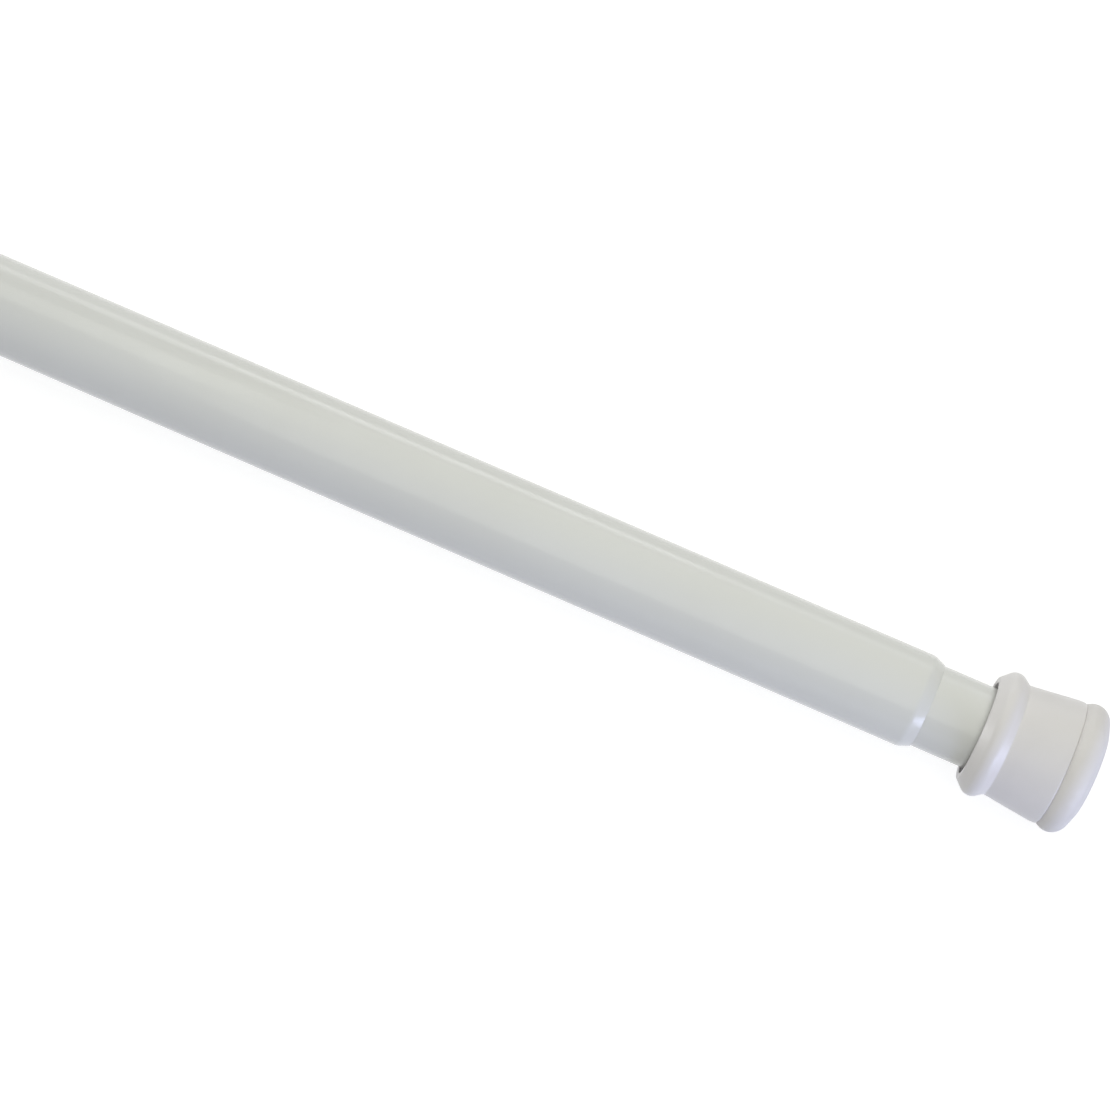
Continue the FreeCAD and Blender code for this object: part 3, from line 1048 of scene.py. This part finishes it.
@dataclass
class HiddenWorks:
    """The pieces inside the tubes: the spring and the spindle are modelled, the rest keep their forms.

    Args:
        nodes: The frame's node objects by name.
    """

    nodes: dict[str, bpy.types.Object]

    def dress(self, groups: SurfaceGroups) -> None:
        """Gives each inner piece its finish.

        Args:
            groups: The shared effects.
        """
        zinc = ZINC_STEEL.material(groups)
        wire = SPRING_STEEL.material(groups)
        WireSpring().dress(wire)
        ThreadedSpindle().dress(zinc)
        nylon = NATURAL_NYLON.material(groups)
        grey_nylon = GREY_NYLON.material(groups)
        carried = {
            "reducer_sleeve": nylon,
            "expander_collet": nylon,
            "guide_bush": nylon,
            "spring_stop": nylon,
            "cone_nut": grey_nylon,
            "spring_follower": grey_nylon,
            "drag_ring": BLACK_RUBBER.material(groups),
            "thrust_washer": zinc,
            "cone_clip": wire,
            "follower_clip": wire,
        }
        for name, material in carried.items():
            piece = self.nodes[name]
            piece.data.materials.clear()
            piece.data.materials.append(material)
            LOG.info("%s in %s", name, material.name)


@dataclass(frozen=True)
class SoftLight:
    """One rectangular soft light.

    Args:
        name: The light's name.
        place: Where it hangs.
        aim: What it points at.
        size: Its width and height.
        power: Its power in watts.
        colour: Its colour.
    """

    name: str
    place: tuple[float, float, float]
    aim: tuple[float, float, float]
    size: tuple[float, float]
    power: float
    colour: tuple[float, float, float]

    def hang(self) -> None:
        """Puts the light into the scene."""
        data = bpy.data.lights.new(self.name, "AREA")
        data.shape = "RECTANGLE"
        data.size, data.size_y = self.size
        data.energy = self.power
        data.color = self.colour
        lamp = bpy.data.objects.new(self.name, data)
        lamp.location = self.place
        lamp.rotation_mode = "QUATERNION"
        lamp.rotation_quaternion = (Vector(self.aim) - lamp.location).to_track_quat("-Z", "Y")
        bpy.context.scene.collection.objects.link(lamp)


SOFT_LIGHTS = (
    SoftLight(
        name="overhead", place=(0.64, 0.35, 0.875), aim=(0.64, 0.157, 0.0),
        size=(0.92, 2.56), power=7.55, colour=(0.985, 1.0, 0.905),
    ),
    SoftLight(
        name="side_card", place=(0.07, 0.4, 0.86), aim=(0.07, 0.34, 0.0),
        size=(0.38, 0.64), power=0.75, colour=(0.985, 1.0, 0.905),
    ),
    SoftLight(
        name="far_strip", place=(0.34, 1.4, 0.13), aim=(0.34, 0.0, 0.0),
        size=(0.48, 0.26), power=0.48, colour=(0.97, 0.98, 1.0),
    ),
    SoftLight(
        name="far_card", place=(0.45, 1.3, 0.2), aim=(0.45, 0.0, 0.0),
        size=(2.0, 0.4), power=3.1, colour=(0.97, 0.98, 1.0),
    ),
    SoftLight(
        name="end_fill", place=(1.7, -0.585, 0.233), aim=(0.68, 0.0, 0.0),
        size=(0.788, 0.473), power=8.6, colour=(0.64, 0.7, 1.0),
    ),
    SoftLight(
        name="low_fill", place=(0.95, -0.8, 0.12), aim=(0.6, 0.0, 0.0),
        size=(0.9, 0.3), power=0.25, colour=(0.8, 0.86, 1.0),
    ),
    SoftLight(
        name="along_fill", place=(-1.9, -0.12, 0.12), aim=(0.68, 0.0, 0.0),
        size=(0.7, 0.4), power=14.0, colour=(0.97, 0.99, 1.0),
    ),
)


@dataclass
class Studio:
    """Pale floor, soft light and the camera.

    Args:
        frame_px: Side of the photograph's square frame.
        focal_px: Focal length in those pixels.
        azimuth: Camera's turn about Z from looking along +Y.
        elevation: Camera's height above the horizon.
        distance: From the camera to the point that it looks at.
        aim_from_lip: How far the aim lies from the outer tube's end, towards the fixed end.
        aim_below: How far the aim lies off the rod's axis, down the picture.
        sensor: Width of the camera's sensor in millimetres.
        floor_shade: Shade of the floor's paint.
        floor_lift: Lift that makes the floor read white.
        floor_size: Side of the floor.
        world_fill: Strength of the world's light on the rod.
        world_tint: Colour of that light.
    """

    frame_px: float = 1120.0
    focal_px: float = 2300.0
    azimuth: float = math.radians(24.01)
    elevation: float = math.radians(76.4)
    distance: float = 596.0 * MM
    aim_from_lip: float = 101.09 * MM
    aim_below: float = 3.16 * MM
    sensor: float = 36.0
    floor_shade: float = 0.45
    floor_lift: float = 0.76
    floor_size: float = 80.0
    world_fill: float = 0.31
    world_tint: Colour = (0.985, 1.0, 0.93, 1.0)

    def place_camera(self) -> None:
        """Sets the camera at the photograph's angle."""
        flat = math.cos(self.elevation)
        back = Vector((
            math.sin(self.azimuth) * flat,
            -math.cos(self.azimuth) * flat,
            math.sin(self.elevation),
        ))
        along = (ROD_AXIS - back * ROD_AXIS.dot(back)).normalized()
        lip_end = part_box("outer_tube")[1].x
        aim = ROD_AXIS * (lip_end - self.aim_from_lip) + along.cross(back) * self.aim_below
        data = bpy.data.cameras.new("camera")
        data.sensor_width = self.sensor
        data.lens = self.sensor * self.focal_px / self.frame_px
        camera = bpy.data.objects.new("camera", data)
        camera.location = aim + back * self.distance
        camera.rotation_mode = "QUATERNION"
        camera.rotation_quaternion = (-back).to_track_quat("-Z", "Y")
        bpy.context.scene.collection.objects.link(camera)
        bpy.context.scene.camera = camera

    def lay_floor(self) -> None:
        """Lays a pale floor under the feet that reads white and keeps the rod's shadow."""
        low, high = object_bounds()
        middle = (low.x + high.x) / 2.0
        bpy.ops.object.select_all(action="DESELECT")
        bpy.ops.mesh.primitive_plane_add(size=self.floor_size, location=(middle, 0.0, low.z))
        floor = bpy.context.object
        floor.name = "floor"
        material = bpy.data.materials.new("pale_floor")
        material.use_nodes = True
        sketch = NodeSketch(material.node_tree)
        material.node_tree.nodes.clear()
        paint = sketch.add("ShaderNodeBsdfDiffuse")
        paint.inputs["Color"].default_value = grey(self.floor_shade)
        lift = sketch.add("ShaderNodeEmission")
        glow = sketch.math("MULTIPLY", self.seen_directly(sketch), self.floor_lift)
        sketch.link(glow, lift.inputs["Strength"])
        both = sketch.add("ShaderNodeAddShader")
        sketch.link(paint.outputs[0], both.inputs[0])
        sketch.link(lift.outputs[0], both.inputs[1])
        sketch.link(both.outputs[0], sketch.add("ShaderNodeOutputMaterial").inputs["Surface"])
        floor.data.materials.append(material)
        floor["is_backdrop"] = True

    @staticmethod
    def seen_directly(sketch: NodeSketch) -> bpy.types.NodeSocket:
        """One for rays that show a surface to the camera, straight on, mirrored or through glass.

        Args:
            sketch: The nodes that the test goes into.

        Returns:
            The mask.
        """
        rays = sketch.add("ShaderNodeLightPath").outputs
        mirrored = sketch.math("MAXIMUM", rays["Is Camera Ray"], rays["Is Glossy Ray"])
        return sketch.math("MAXIMUM", mirrored, rays["Is Transmission Ray"])

    def light(self) -> None:
        """Sets the world's fill and the soft lights."""
        world = bpy.data.worlds.new("studio")
        bpy.context.scene.world = world
        world.use_nodes = True
        sketch = NodeSketch(world.node_tree)
        backdrop = world.node_tree.nodes["Background"]
        seen = self.seen_directly(sketch)
        colours = sketch.add("ShaderNodeMix", data_type="RGBA")
        colours.inputs["A"].default_value = self.world_tint
        colours.inputs["B"].default_value = grey(1.0)
        sketch.link(seen, colours.inputs["Factor"])
        sketch.link(colours.outputs["Result"], backdrop.inputs["Color"])
        lift = sketch.math("MULTIPLY", seen, 1.0 - self.world_fill)
        sketch.link(sketch.math("ADD", lift, self.world_fill), backdrop.inputs["Strength"])
        for soft_light in SOFT_LIGHTS:
            soft_light.hang()

    def set_up(self) -> None:
        """Builds the whole studio."""
        self.lay_floor()
        self.light()
        self.place_camera()
        bpy.context.scene.view_settings.view_transform = "Standard"


def main() -> None:
    """Loads the frame, builds and dresses each sub-assembly, and sets the studio."""
    logging.basicConfig(level=logging.INFO, format="%(name)s: %(message)s")
    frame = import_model()
    groups = SurfaceGroups()
    TubePair().dress(groups)
    plastic = CAP_PLASTIC.material(groups)
    rubber = FOOT_RUBBER.material(groups)
    for end in End:
        EndCap(end).dress(plastic, rubber)
    HiddenWorks(frame["nodes"]).dress(groups)
    Studio().set_up()


if __name__ == "__main__":
    main()
